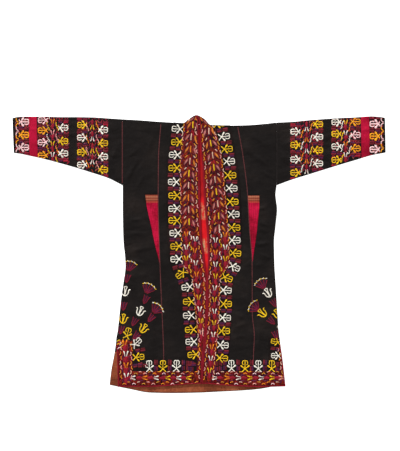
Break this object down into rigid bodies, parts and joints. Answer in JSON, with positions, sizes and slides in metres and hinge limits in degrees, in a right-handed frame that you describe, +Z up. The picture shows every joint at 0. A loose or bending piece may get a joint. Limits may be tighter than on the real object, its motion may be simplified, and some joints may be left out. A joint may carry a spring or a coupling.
{
  "type": "chyrpy",
  "caption": "Embroidered black silk chyrpy coat laid out flat, open down the front, with its sleeves spread and a lined back hem.",
  "frame": {"origin": "on the surface the coat lies on, under the middle of its outline", "axes": "+X across the sleeves to the viewer's right, +Y towards the collar, +Z up off the surface"},
  "size_m": [1.4917, 1.1115, 0.0088],
  "materials": {
    "black_silk": "soft black silk, faint sheen",
    "magenta_silk": "magenta silk, soft sheen",
    "embroidered_silk": "dense silk embroidery on dark silk",
    "crimson_braid": "woven braid",
    "red_lining": "bright cotton lining",
    "rust_lining": "printed rust cotton lining"
  },
  "bodies": {
    "root": {"back_side_left": "black_silk", "back_centre": "black_silk", "back_side_right": "black_silk", "front_centre_left": "black_silk", "front_side_left": "black_silk", "front_centre_right": "black_silk", "front_side_right": "black_silk", "sleeve_left": "black_silk", "sleeve_right": "black_silk", "cuff_binding_left": "black_silk", "cuff_binding_right": "black_silk", "wedge_left": "magenta_silk", "wedge_right": "magenta_silk", "sleeve_stripe_left": "magenta_silk", "sleeve_stripe_right": "magenta_silk", "border_left": "embroidered_silk", "border_right": "embroidered_silk", "neck_border_back": "embroidered_silk", "hem_border_left": "embroidered_silk", "hem_border_right": "embroidered_silk", "slit_border_left": "embroidered_silk", "slit_border_right": "embroidered_silk", "cuff_left": "embroidered_silk", "cuff_right": "embroidered_silk", "front_braid_left": "crimson_braid", "front_braid_right": "crimson_braid", "hem_braid_left": "crimson_braid", "hem_braid_right": "crimson_braid", "slit_braid_left": "crimson_braid", "slit_braid_right": "crimson_braid", "opening_lining": "red_lining", "hem_lining": "rust_lining", "slit_lining_left": "rust_lining"}
  },
  "joints": []
}
